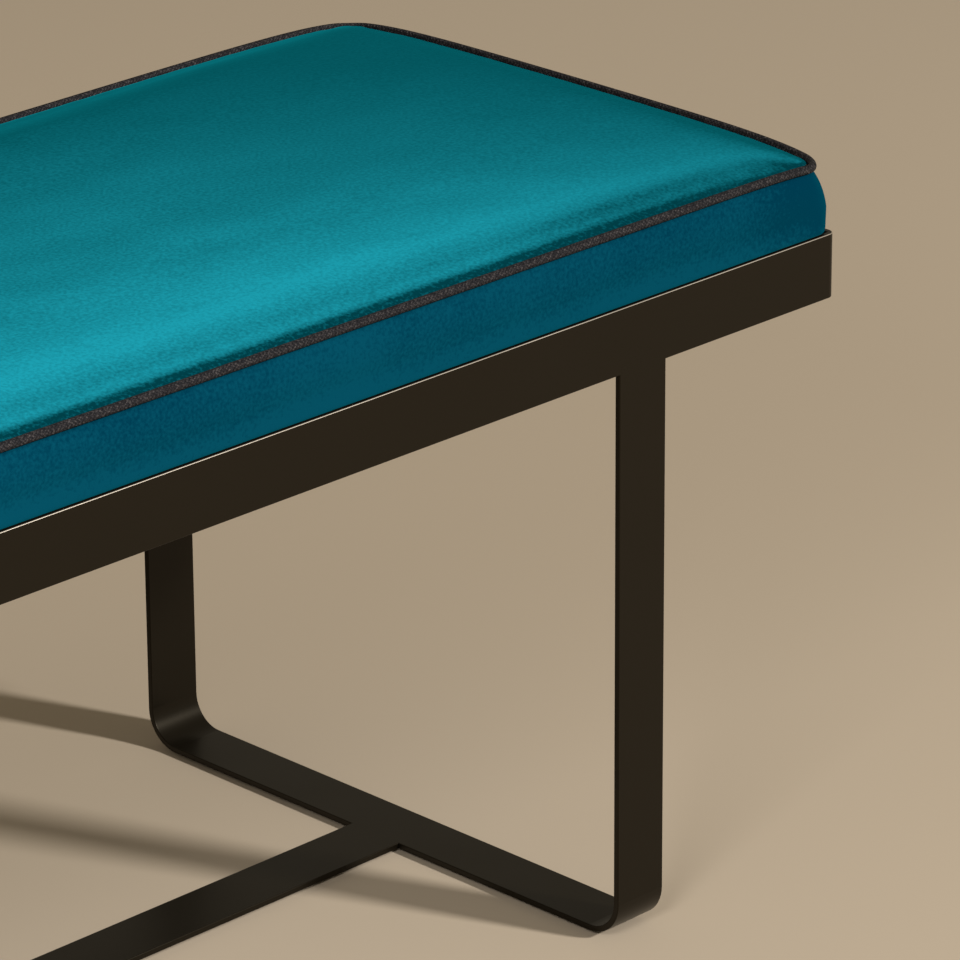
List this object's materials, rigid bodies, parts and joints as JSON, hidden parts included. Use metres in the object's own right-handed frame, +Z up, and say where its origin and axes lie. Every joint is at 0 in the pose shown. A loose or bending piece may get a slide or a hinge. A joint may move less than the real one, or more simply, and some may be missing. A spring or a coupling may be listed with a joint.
{
  "type": "upholstered bench",
  "caption": "Long backless bench: crowned velvet box cushion with a braided cord edge, on a flat steel bar ring, bent leg hoops and a floor stretcher.",
  "frame": {"origin": "on the floor under the middle of the bench", "axes": "+X along the bench to its right end, +Y from the front to the back, +Z up"},
  "size_m": [1.2204, 0.4326, 0.4799],
  "materials": {
    "frame_coat": "semi-matt black-brown powder coat",
    "glide_nylon": "matt",
    "birch_plywood": "sanded, unfinished",
    "zinc_steel": "zinc plated",
    "cambric": "non-woven, matt",
    "velvet": "cotton velvet pile",
    "braid": "braided cord",
    "polyester_wadding": "soft fibre",
    "seat_foam": "open-cell foam"
  },
  "bodies": {
    "root": {"front_rail": "frame_coat", "back_rail": "frame_coat", "left_end_rail": "frame_coat", "right_end_rail": "frame_coat", "left_leg_hoop": "frame_coat", "right_leg_hoop": "frame_coat", "floor_stretcher": "frame_coat", "left_cross_bar": "frame_coat", "centre_cross_bar": "frame_coat", "right_cross_bar": "frame_coat", "front_left_corner_plate": "frame_coat", "front_right_corner_plate": "frame_coat", "back_left_corner_plate": "frame_coat", "back_right_corner_plate": "frame_coat", "front_left_floor_glide": "glide_nylon", "front_right_floor_glide": "glide_nylon", "back_left_floor_glide": "glide_nylon", "back_right_floor_glide": "glide_nylon", "seat_board": "birch_plywood", "t_nuts": "zinc_steel", "seat_bolts": "zinc_steel", "bolt_washers": "zinc_steel", "dust_cover": "cambric", "boxing": "velvet", "top_panel": "velvet", "piping_cord": "braid", "wadding": "polyester_wadding", "foam_core": "seat_foam"}
  },
  "joints": []
}
